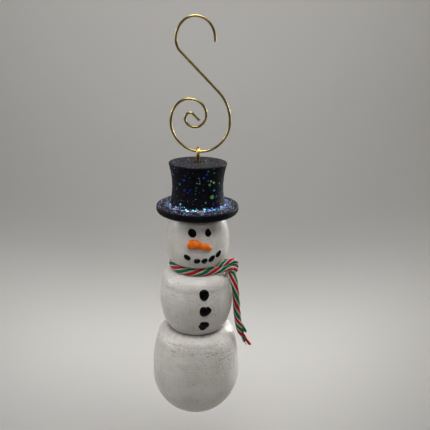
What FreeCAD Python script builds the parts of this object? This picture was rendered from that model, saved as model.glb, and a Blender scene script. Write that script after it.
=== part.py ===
import FreeCAD, Part
import math
import os
import Sketcher
from FreeCAD import Placement, Rotation, Vector

# Hanging wooden snowman: a turned and painted figure with a top hat, a tied
# cord scarf and a screw eye, hung from a swirl hook bent from gold wire.
#
# Frame, in millimetres: +Z up, -Y towards the viewer, +X to the viewer's right.
# The origin is the point on the inside of the hook's crook that is straight
# above the figure's axis, where the hook rests on whatever carries it.

doc = FreeCAD.newDocument("hanging_snowman")
sheet = doc.addObject("Spreadsheet::Sheet", "sizes")
os.makedirs("parts", exist_ok=True)
sheet_rows = 0


def add_size(alias, value):
    """One driving dimension: its name in column A, its value and alias in column B."""
    global sheet_rows
    sheet_rows += 1
    sheet.set(f"A{sheet_rows}", alias)
    sheet.set(f"B{sheet_rows}", str(value))
    sheet.setAlias(f"B{sheet_rows}", alias)


def size(alias):
    return float(sheet.get(alias))


# ---------------------------------------------------------------- driving dimensions

SIZES = {
    # heights of the stack, downwards from the origin
    "hat_top_drop": 70.9,
    "hat_height": 27.1,
    "head_height": 32.5,
    "middle_height": 34.8,
    "lower_height": 55.8,
    # dowels and their bores
    "dowel_radius": 4.0,
    "dowel_bore_radius": 4.05,
    "dowel_length": 24.0,
    "dowel_chamfer": 0.6,
    "dowel_bore_depth": 12.5,
    "hat_bore_depth": 10.0,
    "hat_dowel_length": 20.0,
    "hat_dowel_gap": 0.5,
    # screw eye and its pilot hole
    "eye_wire_radius": 0.9,
    "eye_ring_radius": 2.8,
    "eye_ring_angle": 334.0,
    "eye_thread_radius": 1.15,
    "eye_root_radius": 0.85,
    "eye_thread_pitch": 0.9,
    "eye_thread_start": 1.2,
    "eye_thread_length": 9.9,
    "eye_tip_length": 1.6,
    "pilot_radius": 1.2,
    "pilot_rim_radius": 1.9,
    "pilot_rim_depth": 0.7,
    "pilot_depth": 14.0,
    # hook
    "hook_wire_radius": 0.65,
    "ring_clearance": 0.05,
    # scarf cord
    "cord_radius": 2.0,
    "scarf_ring_radius": 13.0,
    "scarf_ring_height": 2.1,
    # raised paint
    "dab_thickness": 0.9,
}
for alias, value in SIZES.items():
    add_size(alias, value)

# Stations of the turned outlines: (radius, height above the piece's lower face).
STATIONS = {
    # top hat
    "crown_rim": (15.1, 27.1),
    "crown_shoulder": (15.5, 26.7),
    "crown_waist": (13.65, 15.9),
    "crown_foot": (14.75, 5.3),
    "brim_inside": (15.5, 4.6),
    "brim_top": (21.7, 4.25),
    "brim_lip": (22.05, 3.9),
    "brim_edge": (22.2, 2.4),
    "brim_curl": (21.6, 0.7),
    "brim_under": (20.2, 0.0),
    # head, with the neck below it
    "head_top": (13.2, 32.5),
    "head_brow": (16.7, 23.9),
    "head_wide": (17.4, 15.9),
    "head_cheek": (16.95, 10.2),
    "head_jaw": (15.5, 6.6),
    "head_chin": (13.4, 4.6),
    "head_under": (10.9, 4.05),
    "neck_foot": (10.9, 0.0),
    # middle ball
    "middle_top": (13.4, 34.8),
    "middle_shoulder": (17.6, 32.9),
    "middle_chest": (19.75, 27.4),
    "middle_wide": (20.65, 18.6),
    "middle_hip": (19.3, 8.2),
    "middle_under": (17.8, 3.9),
    "middle_foot": (15.2, 0.0),
    # lower ball
    "lower_top": (15.4, 55.8),
    "lower_slope": (19.9, 53.2),
    "lower_edge": (22.6, 48.5),
    "lower_flank": (24.85, 36.5),
    "lower_wide": (25.25, 26.5),
    "lower_curve": (17.9, 7.45),
}
for station, (radius, height) in STATIONS.items():
    add_size(station + "_radius", radius)
    add_size(station + "_height", height)
doc.recompute()


# ---------------------------------------------------------------- turned pieces


def origin_plane(body, role):
    return next(f for f in body.Origin.OriginFeatures if f.Role == role)


def station(name):
    return Vector(size(name + "_radius"), size(name + "_height"), 0)


def bind(sketch, geometry, position, radius, height):
    """Ties one sketch point to a radius and a height: each a sheet alias, or None for zero."""
    if radius is None:
        sketch.addConstraint(Sketcher.Constraint("PointOnObject", geometry, position, -2))
    else:
        value = sketch.getPoint(geometry, position).x
        row = sketch.addConstraint(
            Sketcher.Constraint("DistanceX", -1, 1, geometry, position, value)
        )
        sketch.setExpression(f"Constraints[{row}]", f"sizes.{radius}")
    if height is None:
        sketch.addConstraint(Sketcher.Constraint("PointOnObject", geometry, position, -1))
    else:
        value = sketch.getPoint(geometry, position).y
        row = sketch.addConstraint(
            Sketcher.Constraint("DistanceY", -1, 1, geometry, position, value)
        )
        sketch.setExpression(f"Constraints[{row}]", f"sizes.{height}")


def outline(body, name, corners):
    """A closed half outline on the body's XZ plane, to be revolved about Z.

    corners is a list of (radius alias, height alias, via): a None alias means zero,
    and via is a station that the edge to the next corner bulges through, or None
    for a straight edge.
    """
    sketch = body.newObject("Sketcher::SketchObject", name)
    sketch.AttachmentSupport = (origin_plane(body, "XZ_Plane"), "")
    sketch.MapMode = "FlatFace"
    points = [
        Vector(size(r) if r else 0, size(z) if z else 0, 0) for r, z, via in corners
    ]
    edges = []
    for i, (radius, height, via) in enumerate(corners):
        start, end = points[i], points[(i + 1) % len(points)]
        if via:
            edges.append(sketch.addGeometry(Part.Arc(start, station(via), end)))
        else:
            edges.append(sketch.addGeometry(Part.LineSegment(start, end)))

    def position_at(geometry, point):
        near = sketch.getPoint(geometry, 1).distanceToPoint(point) < 1e-6
        return 1 if near else 2

    for i, (radius, height, via) in enumerate(corners):
        before, after = edges[i - 1], edges[i]
        first = position_at(before, points[i])
        second = position_at(after, points[i])
        sketch.addConstraint(
            Sketcher.Constraint("Coincident", before, first, after, second)
        )
        bind(sketch, after, second, radius, height)
        if via:
            marker = sketch.addGeometry(Part.Point(station(via)), True)
            sketch.addConstraint(
                Sketcher.Constraint("PointOnObject", marker, 1, after)
            )
            bind(sketch, marker, 1, via + "_radius", via + "_height")
    return sketch


def corner(name, via=None):
    return (name + "_radius", name + "_height", via)


def revolve(body, kind, name, sketch):
    feature = body.newObject(kind, name)
    feature.Profile = sketch
    feature.ReferenceAxis = (sketch, ["V_Axis"])
    feature.Angle = 360
    sketch.Visibility = False
    return feature


def turned(label, corners):
    """A body turned between centres: one closed outline revolved about Z."""
    body = doc.addObject("PartDesign::Body", label)
    body.Label = label
    sketch = outline(body, label + "_outline", corners)
    revolve(body, "PartDesign::Revolution", label + "_turning", sketch)
    doc.recompute()
    return body


def bore(body, name, corners):
    """Drills an axial hole of the given half outline, and checks that it removed wood."""
    before = body.Shape.Volume
    sketch = outline(body, name + "_outline", corners)
    revolve(body, "PartDesign::Groove", name, sketch)
    doc.recompute()
    removed = before - body.Shape.Volume
    if removed < 1:
        raise ValueError(f"{name} in {body.Label} cut only {removed:.2f} mm3")


def place_at_drop(part, *heights):
    """Puts a piece's lower face at the hat top's height less the named heights."""
    drop = " - ".join(["-sizes.hat_top_drop", *[f"sizes.{name}" for name in heights]])
    part.setExpression("Placement.Base.z", drop)


# Heights of the bores' floors and mouths, worked out from the driving dimensions.
for alias, formula in {
    "pilot_floor": "=hat_height - pilot_depth",
    "pilot_rim_floor": "=hat_height - pilot_rim_depth",
    "head_top_bore_floor": "=head_height - hat_dowel_length + hat_bore_depth - hat_dowel_gap",
    "middle_top_bore_floor": "=middle_height - dowel_bore_depth",
    "lower_top_bore_floor": "=lower_height - dowel_bore_depth",
    "dowel_shoulder": "=dowel_length - dowel_chamfer",
    "hat_dowel_shoulder": "=hat_dowel_length - dowel_chamfer",
    "dowel_end_radius": "=dowel_radius - dowel_chamfer",
}.items():
    add_size(alias, formula)
doc.recompute()

top_hat = turned(
    "top_hat",
    [
        (None, None, None),
        corner("brim_under", "brim_curl"),
        corner("brim_edge"),
        corner("brim_lip"),
        corner("brim_top"),
        corner("brim_inside"),
        corner("crown_foot", "crown_waist"),
        corner("crown_shoulder"),
        corner("crown_rim"),
        (None, "hat_height", None),
    ],
)
bore(
    top_hat,
    "hat_dowel_bore",
    [
        (None, None, None),
        ("dowel_bore_radius", None, None),
        ("dowel_bore_radius", "hat_bore_depth", None),
        (None, "hat_bore_depth", None),
    ],
)
bore(
    top_hat,
    "screw_pilot",
    [
        (None, "hat_height", None),
        (None, "pilot_floor", None),
        ("pilot_radius", "pilot_floor", None),
        ("pilot_radius", "pilot_rim_floor", None),
        ("pilot_rim_radius", "hat_height", None),
    ],
)
place_at_drop(top_hat, "hat_height")

head = turned(
    "head",
    [
        (None, None, None),
        corner("neck_foot"),
        corner("head_under", "head_chin"),
        corner("head_jaw", "head_cheek"),
        corner("head_wide", "head_brow"),
        corner("head_top"),
        (None, "head_height", None),
    ],
)
bore(
    head,
    "head_top_bore",
    [
        (None, "head_height", None),
        (None, "head_top_bore_floor", None),
        ("dowel_bore_radius", "head_top_bore_floor", None),
        ("dowel_bore_radius", "head_height", None),
    ],
)
bore(
    head,
    "neck_bore",
    [
        (None, None, None),
        ("dowel_bore_radius", None, None),
        ("dowel_bore_radius", "dowel_bore_depth", None),
        (None, "dowel_bore_depth", None),
    ],
)
place_at_drop(head, "hat_height", "head_height")

middle_ball = turned(
    "middle_ball",
    [
        (None, None, None),
        corner("middle_foot", "middle_under"),
        corner("middle_hip", "middle_wide"),
        corner("middle_chest", "middle_shoulder"),
        corner("middle_top"),
        (None, "middle_height", None),
    ],
)
bore(
    middle_ball,
    "middle_top_bore",
    [
        (None, "middle_height", None),
        (None, "middle_top_bore_floor", None),
        ("dowel_bore_radius", "middle_top_bore_floor", None),
        ("dowel_bore_radius", "middle_height", None),
    ],
)
bore(
    middle_ball,
    "waist_bore",
    [
        (None, None, None),
        ("dowel_bore_radius", None, None),
        ("dowel_bore_radius", "dowel_bore_depth", None),
        (None, "dowel_bore_depth", None),
    ],
)
place_at_drop(middle_ball, "hat_height", "head_height", "middle_height")

lower_ball = turned(
    "lower_ball",
    [
        (None, None, "lower_curve"),
        corner("lower_wide", "lower_flank"),
        corner("lower_edge", "lower_slope"),
        corner("lower_top"),
        (None, "lower_height", None),
    ],
)
bore(
    lower_ball,
    "lower_top_bore",
    [
        (None, "lower_height", None),
        (None, "lower_top_bore_floor", None),
        ("dowel_bore_radius", "lower_top_bore_floor", None),
        ("dowel_bore_radius", "lower_height", None),
    ],
)
place_at_drop(lower_ball, "hat_height", "head_height", "middle_height", "lower_height")


def dowel(label, length, shoulder):
    """A plain wooden pin with both ends chamfered, its lower end at its own z = 0."""
    return turned(
        label,
        [
            (None, None, None),
            ("dowel_end_radius", None, None),
            ("dowel_radius", "dowel_chamfer", None),
            ("dowel_radius", shoulder, None),
            ("dowel_end_radius", length, None),
            (None, length, None),
        ],
    )


hat_dowel = dowel("hat_dowel", "hat_dowel_length", "hat_dowel_shoulder")
hat_dowel.setExpression(
    "Placement.Base.z",
    "-sizes.hat_top_drop - sizes.hat_height + sizes.hat_bore_depth"
    " - sizes.hat_dowel_length - sizes.hat_dowel_gap / 2",
)
neck_dowel = dowel("neck_dowel", "dowel_length", "dowel_shoulder")
neck_dowel.setExpression(
    "Placement.Base.z",
    "-sizes.hat_top_drop - sizes.hat_height - sizes.head_height - sizes.dowel_length / 2",
)
waist_dowel = dowel("waist_dowel", "dowel_length", "dowel_shoulder")
waist_dowel.setExpression(
    "Placement.Base.z",
    "-sizes.hat_top_drop - sizes.hat_height - sizes.head_height - sizes.middle_height"
    " - sizes.dowel_length / 2",
)
doc.recompute()

# ---------------------------------------------------------------- swirl hook

# The wire's centreline in the XZ plane. Each stretch from one outermost point of
# the bend to the next is a quarter turn; the points are (x, z).
CROOK_TIP = (7.75, -11.0)
CROOK_RIGHT = (7.8, -9.6)
CROOK_TOP_X = -1.8
CROOK_LEFT = (-11.4, -9.9)
SHANK_BEND = (-10.3, -14.4)
SWIRL_RIGHT = (16.2, -49.8)
SWIRL_TURNS = [
    (1.5, -65.35),
    (-14.15, -49.9),
    (-4.7, -38.5),
    (3.95, -46.3),
    (-1.5, -52.7),
    (-6.83, -48.6),
    (-4.2, -45.4),
]
SWIRL_END = (0.5, -49.3)
SHANK_SLOPE = math.radians(45)
SHANK_CORNER_RADIUS = 3.0
INNER_CORNER_RADIUS = 1.7
QUARTER = 0.5523  # handle length of a Bezier quarter turn, as a share of its half axis


def on_hook(x, z):
    return Vector(x, 0, z)


def quarter_turn(start, end, corner_point):
    """A Bezier quarter turn from start to end whose end tangents meet at corner_point."""
    curve = Part.BezierCurve()
    curve.setPoles(
        [
            start,
            start + (corner_point - start) * QUARTER,
            end + (corner_point - end) * QUARTER,
            end,
        ]
    )
    return curve.toShape()


def tangent_arc(start, heading, turn, radius):
    """An arc in the XZ plane from start along heading, turning by turn (radians, anticlockwise
    as seen from the front). Returns the edge, its end and the heading there."""
    side = math.copysign(1, turn)
    centre = start + Vector(-math.sin(heading), 0, math.cos(heading)) * radius * side

    def point(angle):
        return centre + Vector(math.sin(angle), 0, -math.cos(angle)) * radius * side

    end = point(heading + turn)
    edge = Part.Arc(start, point(heading + turn / 2), end).toShape()
    return edge, end, heading + turn


def crook_top_height():
    """Height of the wire's centreline at the crook's top, which makes the wire's inner
    surface pass through the origin."""
    share = CROOK_TOP_X / (CROOK_TOP_X - CROOK_RIGHT[0])
    rise = -CROOK_RIGHT[1]
    drop = rise * (1 - math.sqrt(1 - share**2))
    return size("hook_wire_radius") + drop


def hook_edges():
    tip, right = on_hook(*CROOK_TIP), on_hook(*CROOK_RIGHT)
    top = on_hook(CROOK_TOP_X, crook_top_height())
    left = on_hook(*CROOK_LEFT)
    edges = [
        Part.LineSegment(tip, right).toShape(),
        quarter_turn(right, top, Vector(right.x, 0, top.z)),
        quarter_turn(top, left, Vector(left.x, 0, top.z)),
    ]
    # down the left side of the crook, then a tighter corner into the sloping shank
    down = -math.pi / 2
    bend = on_hook(*SHANK_BEND)
    lean = 2 * math.atan2(bend.x - left.x, left.z - bend.z)
    side_radius = (left.z - bend.z) / math.sin(lean)
    edge, at, heading = tangent_arc(left, down, lean, side_radius)
    edges.append(edge)
    edge, at, heading = tangent_arc(
        at, heading, -SHANK_SLOPE - heading, SHANK_CORNER_RADIUS
    )
    edges.append(edge)
    # the straight shank, then one wide arc that turns straight down at the swirl's right
    right = on_hook(*SWIRL_RIGHT)
    run = right - at
    across, fall = run.x, -run.z
    share = 1 - math.cos(SHANK_SLOPE)
    wide_radius = (across - fall / math.tan(SHANK_SLOPE)) / (
        share - math.sin(SHANK_SLOPE) / math.tan(SHANK_SLOPE)
    )
    straight = (fall - wide_radius * math.sin(SHANK_SLOPE)) / math.sin(SHANK_SLOPE)
    end = at + Vector(math.cos(SHANK_SLOPE), 0, -math.sin(SHANK_SLOPE)) * straight
    edges.append(Part.LineSegment(at, end).toShape())
    edge, at, heading = tangent_arc(end, -SHANK_SLOPE, SHANK_SLOPE + down, wide_radius)
    edges.append(edge)
    # the swirl: quarter turns that tighten towards the middle
    for i, turn in enumerate(SWIRL_TURNS):
        end = on_hook(*turn)
        upright_first = i % 2 == 0
        meet = Vector(at.x, 0, end.z) if upright_first else Vector(end.x, 0, at.z)
        edges.append(quarter_turn(at, end, meet))
        at = end
    end = on_hook(*SWIRL_END)
    chord = end - at
    slope = straight_slope(chord, INNER_CORNER_RADIUS)
    edge, at, heading = tangent_arc(at, 0, -slope, INNER_CORNER_RADIUS)
    edges.append(edge)
    edges.append(Part.LineSegment(at, end).toShape())
    return edges


def straight_slope(chord, radius):
    """Slope of the straight end that follows an arc of this radius, which starts level."""
    distance = math.hypot(chord.x, chord.z + radius)
    bearing = math.atan2(-(chord.z + radius), chord.x)
    return bearing + math.asin(radius / distance)


def swept(label, edges, radius_alias):
    """A round wire or cord along a wire of tangent edges."""
    spine = doc.addObject("Part::Feature", label + "_path")
    spine.Shape = Part.Wire(edges)
    first = edges[0]
    start = first.valueAt(first.FirstParameter)
    along = first.tangentAt(first.FirstParameter)
    section = doc.addObject("Part::Circle", label + "_section")
    section.setExpression("Radius", f"sizes.{radius_alias}")
    section.Placement = Placement(start, Rotation(Vector(0, 0, 1), along))
    sweep = doc.addObject("Part::Sweep", label)
    sweep.Label = label
    sweep.Sections = [section]
    sweep.Spine = (spine, [f"Edge{n + 1}" for n in range(len(edges))])
    sweep.Solid = True
    sweep.Frenet = False
    doc.recompute()
    expected = math.pi * size(radius_alias) ** 2 * spine.Shape.Length
    print(
        f"{label}: length {spine.Shape.Length:.1f} mm,"
        f" volume {sweep.Shape.Volume:.1f} of {expected:.1f} mm3"
    )
    return sweep


swirl_hook = swept("swirl_hook", hook_edges(), "hook_wire_radius")

# ---------------------------------------------------------------- screw eye


def hook_height_at_axis():
    """Height of the hook wire's centreline where it crosses the figure's axis, at the bottom."""
    lowest = SWIRL_TURNS[0][1]
    line = Part.LineSegment(Vector(0, 0, lowest - 1), Vector(0, 0, lowest + 1)).toShape()
    path = doc.getObject("swirl_hook_path").Shape
    distance, pairs, info = path.distToShape(line)
    return pairs[0][0].z


hook_low_z = hook_height_at_axis()
ring_top_z = (
    hook_low_z
    + size("hook_wire_radius")
    + size("ring_clearance")
    + size("eye_wire_radius")
)
ring_centre_z = ring_top_z - size("eye_ring_radius")
shank_top_z = ring_centre_z - size("eye_ring_radius")
print(f"swing pivot z {hook_low_z:.3f}, ring centre z {ring_centre_z:.3f}")

eye_ring = doc.addObject("Part::Torus", "eye_ring")
eye_ring.setExpression("Radius1", "sizes.eye_ring_radius")
eye_ring.setExpression("Radius2", "sizes.eye_wire_radius")
eye_ring.setExpression("Angle3", "sizes.eye_ring_angle")
# The ring lies in the YZ plane and starts at the shank; it runs up the back,
# over the hook's wire and down the front, and stops just short of the shank.
eye_ring.Placement = Placement(
    Vector(0, 0, ring_centre_z),
    Rotation(Vector(0, 0, -1), Vector(0, 1, 0), Vector(1, 0, 0), "ZXY"),
)


RIDGE_FOOT = 0.25  # where a ridge starts and where it crests, as shares of the pitch
RIDGE_CREST = 0.6


def screw_shank():
    """Shank with ring ridges for the thread, a plain neck above them and a pointed tip."""
    plain, root = size("eye_wire_radius"), size("eye_root_radius")
    thread, pitch = size("eye_thread_radius"), size("eye_thread_pitch")
    hat_top_z = -size("hat_top_drop")
    start_z = hat_top_z - size("eye_thread_start")
    points = [Vector(0, 0, shank_top_z), Vector(plain, 0, shank_top_z)]
    points.append(Vector(plain, 0, start_z))
    ridges = int(size("eye_thread_length") / pitch)
    for n in range(ridges):
        z = start_z - n * pitch
        points.append(Vector(root, 0, z - pitch * RIDGE_FOOT))
        points.append(Vector(thread, 0, z - pitch * RIDGE_CREST))
        points.append(Vector(root, 0, z - pitch))
    tip_z = start_z - ridges * pitch - size("eye_tip_length")
    points.append(Vector(0, 0, tip_z))
    points.append(points[0])
    face = Part.Face(Part.makePolygon(points))
    return face.revolve(Vector(0, 0, 0), Vector(0, 0, 1), 360)


eye_shank = doc.addObject("Part::Feature", "eye_shank")
eye_shank.Shape = screw_shank()
screw_eye = doc.addObject("Part::Fuse", "screw_eye")
screw_eye.Label = "screw_eye"
screw_eye.Base = eye_ring
screw_eye.Tool = eye_shank

# ---------------------------------------------------------------- raised paint

BACK = Vector(0, 1, 0)


def paint_blob(name, azimuth, z, reach, lean, roll, width, tall, thickness):
    """An ellipsoid centred on the wood at an azimuth (0 faces -Y, positive to +X), radius
    reach and height z. lean tips its face upwards, and roll turns it in its own plane."""
    blob = doc.addObject("Part::Ellipsoid", name)
    blob.Radius1 = tall / 2
    blob.Radius2 = width / 2
    blob.Radius3 = thickness
    blob.Angle1, blob.Angle2, blob.Angle3 = -90, 90, 360
    turn = math.radians(azimuth)
    place = Vector(reach * math.sin(turn), -reach * math.cos(turn), z)
    blob.Placement = Placement(
        place,
        Rotation(Vector(0, 0, 1), azimuth)
        * Rotation(Vector(1, 0, 0), -lean)
        * Rotation(Vector(0, 1, 0), roll),
    )
    return blob


def paint_on(label, blobs, wood):
    """One raised dab of paint: its blobs joined, less the wood that it sits on."""
    joined = blobs[0]
    if len(blobs) > 1:
        joined = doc.addObject("Part::MultiFuse", label + "_blobs")
        joined.Shapes = blobs
    dab = doc.addObject("Part::Cut", label)
    dab.Label = label
    dab.Base = joined
    dab.Tool = wood
    return dab


# label: azimuth, z, radius of the wood there, lean, roll, width, height
EYES = {
    "left_eye": (-9.5, -104.9, 16.15, 17, 0, 4.0, 4.4),
    "right_eye": (20.0, -104.9, 16.15, 17, 6, 3.8, 4.4),
}
MOUTH = {
    "mouth_dab_1": (-17.7, -118.4, 17.1, -4, 25, 3.2, 2.6),
    "mouth_dab_2": (0.0, -120.5, 16.75, -9, 0, 3.2, 2.5),
    "mouth_dab_3": (13.3, -120.6, 16.75, -9, -15, 3.2, 2.6),
    "mouth_dab_4": (27.0, -119.5, 16.95, -6, -50, 3.6, 2.5),
    "mouth_dab_5": (40.4, -117.7, 17.15, -3, -50, 3.7, 2.6),
}
BUTTONS = {
    "top_button": (11.6, -138.6, 19.8, 10, 0, 5.1, 6.0),
    "middle_button": (13.0, -147.7, 20.6, 0, 0, 6.2, 5.2),
    "bottom_button": (12.6, -157.8, 19.0, -18, -8, 5.7, 4.6),
}
# stretches of the nose from its round end to its tip
NOSE = [
    (-8.0, -111.1, 17.3, 5, 0, 9.4, 5.7, 2.1),
    (4.5, -111.7, 17.35, 4, -6, 9.0, 4.4, 1.9),
    (14.5, -112.6, 17.4, 3, -14, 7.4, 3.9, 1.7),
    (21.5, -113.4, 17.4, 2, -16, 5.4, 2.6, 1.3),
]


def dabs(table, wood):
    made = {}
    for label, (azimuth, z, reach, lean, roll, width, tall) in table.items():
        thickness = size("dab_thickness")
        blob = paint_blob(
            label + "_blob", azimuth, z, reach, lean, roll, width, tall, thickness
        )
        blob.setExpression("Radius3", "sizes.dab_thickness")
        made[label] = paint_on(label, [blob], wood)
    return made


face_dabs = {**dabs(EYES, head), **dabs(MOUTH, head), **dabs(BUTTONS, middle_ball)}
nose = paint_on(
    "nose", [paint_blob(f"nose_blob_{n}", *blob) for n, blob in enumerate(NOSE)], head
)

# ---------------------------------------------------------------- scarf

neck_z = -(size("hat_top_drop") + size("hat_height") + size("head_height"))
scarf_z = neck_z + size("scarf_ring_height")

# The knot sits outboard of the neck cord, on the right of the front. The cord reaches it
# from both sides along tangents to the ring round the neck.
KNOT_CENTRE = Vector(18.3, -5.6, -127.6)
KNOT_HALF_SIZE = (4.5, 4.2, 4.3)
CORD_INTO_KNOT = 2.2  # how far short of the knot's centre the neck cord's ends stop


def ring_point(azimuth):
    reach = size("scarf_ring_radius")
    return Vector(reach * math.sin(azimuth), -reach * math.cos(azimuth), scarf_z)


def neck_cord_edges():
    """From the back of the knot round the neck to the front of the knot."""
    knot = Vector(KNOT_CENTRE.x, KNOT_CENTRE.y, scarf_z)
    bearing = math.atan2(knot.x, -knot.y)
    reach = math.hypot(knot.x, knot.y)
    spread = math.acos(size("scarf_ring_radius") / reach)
    back, front = ring_point(bearing + spread), ring_point(bearing - spread)
    far_side = ring_point(bearing + math.pi)
    straight = math.sqrt(reach**2 - size("scarf_ring_radius") ** 2) - CORD_INTO_KNOT
    back_end = back + (knot - back).normalize() * straight
    front_end = front + (knot - front).normalize() * straight
    return [
        Part.LineSegment(back_end, back).toShape(),
        Part.Arc(back, far_side, front).toShape(),
        Part.LineSegment(front, front_end).toShape(),
    ]


def tangent_route(points, label):
    """Straight runs joined by tangent arcs, each arc 0.45 of the shorter run beside it
    divided by the tangent of half the turn."""
    edges = []
    at = points[0]
    radii = []
    for before, point, after in zip(points, points[1:], points[2:]):
        back, on = (before - point).normalize(), (after - point).normalize()
        trim = 0.45 * min(point.distanceToPoint(before), point.distanceToPoint(after))
        half_turn = (math.pi - back.getAngle(on)) / 2
        radius = trim / math.tan(half_turn)
        radii.append(radius)
        enter, leave = point + back * trim, point + on * trim
        inwards = (back + on).normalize()
        middle = point + inwards * (radius / math.cos(half_turn) - radius)
        edges.append(Part.LineSegment(at, enter).toShape())
        edges.append(Part.Arc(enter, middle, leave).toShape())
        at = leave
    edges.append(Part.LineSegment(at, points[-1]).toShape())
    print(label, "bend radii", ", ".join(f"{r:.1f}" for r in radii))
    return edges


# The free end, from the underside of the knot down past the middle ball and over
# the lower ball's shoulder.
TAIL_ROUTE = [
    Vector(18.9, -6.4, -130.2),
    Vector(20.1, -7.6, -134.0),
    Vector(21.1, -8.0, -139.2),
    Vector(21.9, -7.2, -145.6),
    Vector(22.5, -6.0, -152.5),
    Vector(23.2, -4.8, -159.2),
    Vector(24.4, -3.7, -165.6),
    Vector(26.2, -2.8, -171.6),
    Vector(28.4, -2.2, -177.4),
]

scarf_neck_loop = swept("scarf_neck_loop", neck_cord_edges(), "cord_radius")
scarf_tail = swept("scarf_tail", tangent_route(TAIL_ROUTE, "scarf_tail"), "cord_radius")

knot_blob = doc.addObject("Part::Ellipsoid", "knot_blob")
knot_blob.Radius2, knot_blob.Radius3, knot_blob.Radius1 = KNOT_HALF_SIZE
knot_blob.Angle1, knot_blob.Angle2, knot_blob.Angle3 = -90, 90, 360
knot_blob.Placement = Placement(KNOT_CENTRE, Rotation())
# The cord's other end: a short stub out of the back of the knot, against the ball.
SHORT_END_START = Vector(18.6, -2.0, -128.6)
SHORT_END_AXIS = Vector(2.6, 5.6, -6.2)
short_end = doc.addObject("Part::Cylinder", "short_end")
short_end.setExpression("Radius", "sizes.cord_radius")
short_end.Height = SHORT_END_AXIS.Length
short_end.Placement = Placement(SHORT_END_START, Rotation(Vector(0, 0, 1), SHORT_END_AXIS))
knot_and_end = doc.addObject("Part::MultiFuse", "knot_and_end")
knot_and_end.Shapes = [knot_blob, short_end]
knot_neighbours = doc.addObject("Part::MultiFuse", "knot_neighbours")
knot_neighbours.Shapes = [head, middle_ball, scarf_neck_loop, scarf_tail]
scarf_knot = doc.addObject("Part::Cut", "scarf_knot")
scarf_knot.Label = "scarf_knot"
scarf_knot.Base = knot_and_end
scarf_knot.Tool = knot_neighbours

# ---------------------------------------------------------------- check and write

doc.recompute()
pieces = [
    swirl_hook,
    screw_eye,
    top_hat,
    head,
    middle_ball,
    lower_ball,
    hat_dowel,
    neck_dowel,
    waist_dowel,
    nose,
    *face_dabs.values(),
    scarf_neck_loop,
    scarf_knot,
    scarf_tail,
]
for item in doc.Objects:
    if "Invalid" in item.State or "Error" in item.State:
        raise ValueError(f"{item.Label} did not recompute: {item.State}")
for piece in pieces:
    shape = piece.Shape
    if shape.isNull() or not shape.isValid() or not shape.Solids:
        raise ValueError(f"{piece.Label} is not a valid solid")
    shape.exportStep(f"parts/{piece.Label}.step")
    box = shape.BoundBox
    print(
        f"{piece.Label:16s} solids {len(shape.Solids)} volume {shape.Volume:9.2f}"
        f"  x {box.XMin:7.2f} {box.XMax:7.2f}  y {box.YMin:7.2f} {box.YMax:7.2f}"
        f"  z {box.ZMin:8.2f} {box.ZMax:8.2f}"
    )
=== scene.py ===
import math

import bpy
import numpy as np
from mathutils import Matrix, Vector


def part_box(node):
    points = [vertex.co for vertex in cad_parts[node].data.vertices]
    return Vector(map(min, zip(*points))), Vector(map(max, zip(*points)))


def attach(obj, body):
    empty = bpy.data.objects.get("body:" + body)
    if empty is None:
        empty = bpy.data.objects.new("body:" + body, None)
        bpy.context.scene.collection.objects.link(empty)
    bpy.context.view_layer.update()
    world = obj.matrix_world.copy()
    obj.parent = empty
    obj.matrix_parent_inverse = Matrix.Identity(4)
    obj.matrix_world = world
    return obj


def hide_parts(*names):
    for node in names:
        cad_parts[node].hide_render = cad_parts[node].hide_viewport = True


# Looks for the hanging wooden snowman, round its CAD frame. The origin is inside the hook's
# crook and the figure hangs below it. Shapes are in millimetres here, and turn into metres
# where a mesh is made.

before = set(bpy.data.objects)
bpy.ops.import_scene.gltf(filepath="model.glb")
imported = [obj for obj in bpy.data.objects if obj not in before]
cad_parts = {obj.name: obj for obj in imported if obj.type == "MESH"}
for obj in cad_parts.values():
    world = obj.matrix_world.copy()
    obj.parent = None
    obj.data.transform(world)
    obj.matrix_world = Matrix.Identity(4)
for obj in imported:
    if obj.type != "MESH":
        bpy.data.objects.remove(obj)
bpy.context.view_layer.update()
MM = 0.001
TURN = 2 * math.pi


def cad_mm(node):
    """A CAD node's lowest and highest corners, in mm."""
    low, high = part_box(node)
    return np.array(low) / MM, np.array(high) / MM


# -------- camera

CAMERA_DISTANCE = 0.263
CAMERA_HEIGHT = -0.0166
CAMERA_PITCH = math.radians(17.6)
CAMERA_YAW = math.radians(2.07)
CAMERA_ROLL = math.radians(1.16)
CAMERA_LENS = 42.53  # mm, on a sensor of SENSOR_WIDTH
SENSOR_WIDTH = 36

camera = bpy.data.objects.new("camera", bpy.data.cameras.new("camera"))
bpy.context.scene.collection.objects.link(camera)
bpy.context.scene.camera = camera
camera.data.lens = CAMERA_LENS
camera.data.sensor_width = SENSOR_WIDTH
camera.data.clip_start = 0.01
camera.matrix_world = (
    Matrix.Translation((0, -CAMERA_DISTANCE, CAMERA_HEIGHT))
    @ Matrix.Rotation(-CAMERA_YAW, 4, "Z")
    @ Matrix.Rotation(math.radians(90) - CAMERA_PITCH, 4, "X")
    @ Matrix.Rotation(CAMERA_ROLL, 4, "Z")
)
bpy.context.scene.view_settings.view_transform = "Standard"

# -------- small tools


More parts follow.
